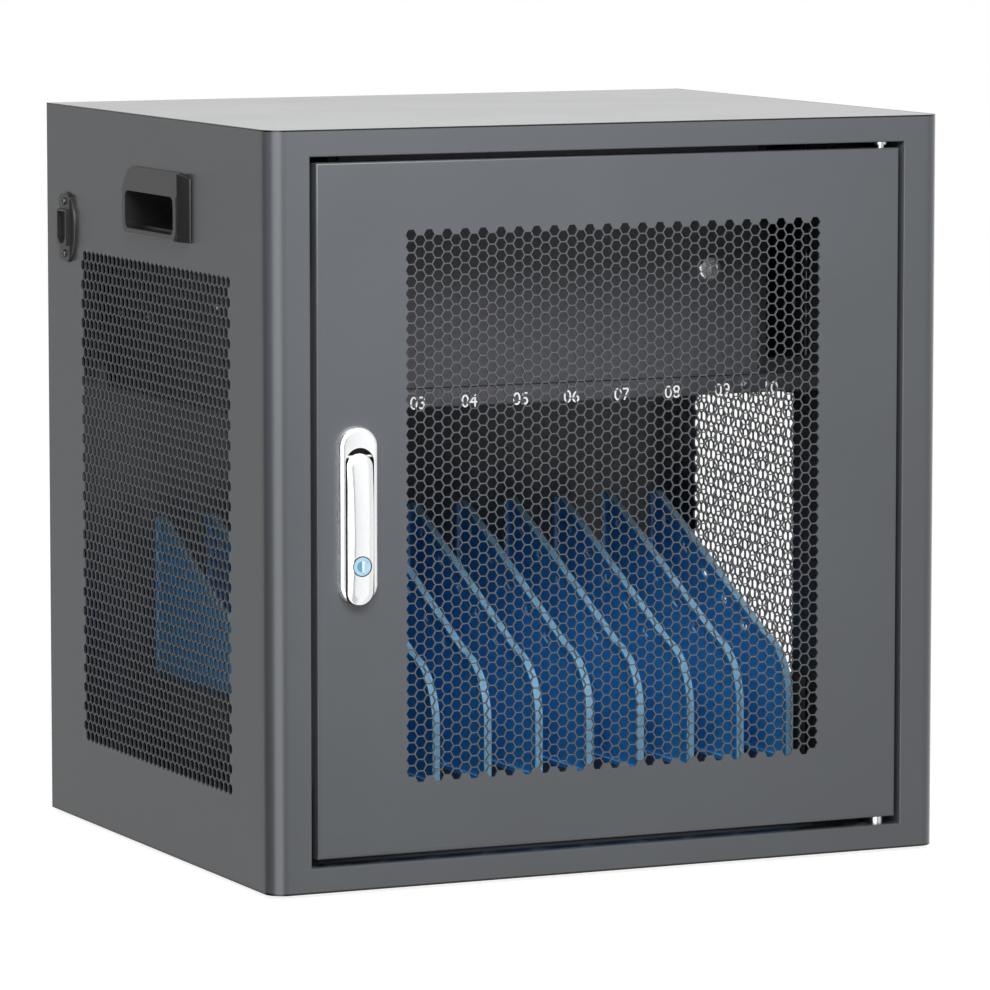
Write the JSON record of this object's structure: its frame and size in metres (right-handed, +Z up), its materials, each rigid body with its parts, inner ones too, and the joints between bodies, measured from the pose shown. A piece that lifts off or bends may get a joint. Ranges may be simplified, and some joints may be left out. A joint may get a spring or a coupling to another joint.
{
  "type": "laptop charging cabinet",
  "caption": "Grey sheet-steel charging cabinet with a honeycomb-grille door, swing-handle lock, side carry handles, blue laptop dividers and a locked adapter bay.",
  "frame": {"origin": "on the floor, under the middle of the whole outline", "axes": "+X to the cabinet's right as seen from the front, +Y from the door to the back, +Z up"},
  "size_m": [0.556, 0.456, 0.553],
  "materials": {
    "case_grey": "fine textured powder coat, semi matte",
    "inner_black": "matte powder coat",
    "divider_blue": "satin",
    "black_moulding": "moulded, satin",
    "satin_chrome": "satin chrome",
    "plug_steel": "polished",
    "plain_steel": "zinc plated",
    "contact_metal": "nickel plated",
    "outlet_body": "moulded",
    "outlet_face": "moulded",
    "foot_rubber": "matte"
  },
  "bodies": {
    "cabinet": {"front_frame": "case_grey", "left_side_panel": "case_grey", "right_side_panel": "case_grey", "left_side_upper": "case_grey", "right_side_upper": "case_grey", "top_panel": "case_grey", "bottom_panel": "case_grey", "back_panel": "case_grey", "left_upright": "inner_black", "right_upright": "inner_black", "left_bay_side": "inner_black", "right_bay_side": "inner_black", "adapter_shelf": "inner_black", "cable_rail": "inner_black", "bay_frame": "inner_black", "rack_floor": "inner_black", "left_rack_side": "inner_black", "right_rack_side": "inner_black", "divider_01": "divider_blue", "divider_02": "divider_blue", "divider_03": "divider_blue", "divider_04": "divider_blue", "divider_05": "divider_blue", "divider_06": "divider_blue", "divider_07": "divider_blue", "divider_08": "divider_blue", "divider_09": "divider_blue", "divider_10": "divider_blue", "divider_11": "divider_blue", "left_handle_cup": "black_moulding", "right_handle_cup": "black_moulding", "power_inlet": "black_moulding", "hinge_pin_top": "plain_steel", "hinge_pin_bottom": "plain_steel", "hinge_washer_top": "plain_steel", "hinge_washer_bottom": "plain_steel", "inlet_pins": "contact_metal", "outlet_strip": "outlet_body", "outlet_faces": "outlet_face", "foot_front_left": "foot_rubber", "foot_front_right": "foot_rubber", "foot_rear_left": "foot_rubber", "foot_rear_right": "foot_rubber"},
    "door": {"door_panel": "case_grey", "left_stiffener": "inner_black", "right_stiffener": "inner_black", "door_bush_top": "plain_steel", "door_bush_bottom": "plain_steel", "lock_escutcheon": "satin_chrome", "lock_housing": "plain_steel", "lever_pin": "plain_steel"},
    "lever": {"lock_lever": "satin_chrome", "lock_barrel": "satin_chrome"},
    "key_plug": {"lock_plug": "plug_steel"},
    "latch_cam": {"lock_spindle": "plain_steel", "lock_cam": "plain_steel"},
    "bay_cover": {"bay_cover": "inner_black", "bay_lock_barrel": "satin_chrome"},
    "bay_lock": {"bay_lock_plug": "satin_chrome"}
  },
  "joints": [
    {"name": "door_hinge", "type": "hinge", "parent": "cabinet", "child": "door", "pos_m": [0.224, -0.208, 0.278], "axis": [0, 0, 1], "range_deg": [0, 110]},
    {"name": "handle_lift", "type": "hinge", "parent": "door", "child": "lever", "pos_m": [-0.2044, -0.2216, 0.3189], "axis": [-1, 0, 0], "range_deg": [0, 45]},
    {"name": "key_turn", "type": "hinge", "parent": "lever", "child": "key_plug", "pos_m": [-0.2044, -0.2218, 0.24], "axis": [0, 1, 0], "range_deg": [0, 90]},
    {"name": "cam_turn", "type": "hinge", "parent": "door", "child": "latch_cam", "pos_m": [-0.2044, -0.1974, 0.308], "axis": [0, 1, 0], "range_deg": [0, 90]},
    {"name": "bay_cover_pull", "type": "slide", "parent": "cabinet", "child": "bay_cover", "axis": [0, -1, 0], "range_m": [0, 0.06]},
    {"name": "bay_lock_turn", "type": "hinge", "parent": "bay_cover", "child": "bay_lock", "pos_m": [0.131, -0.111, 0.4355], "axis": [0, -1, 0], "range_deg": [0, 90]}
  ]
}
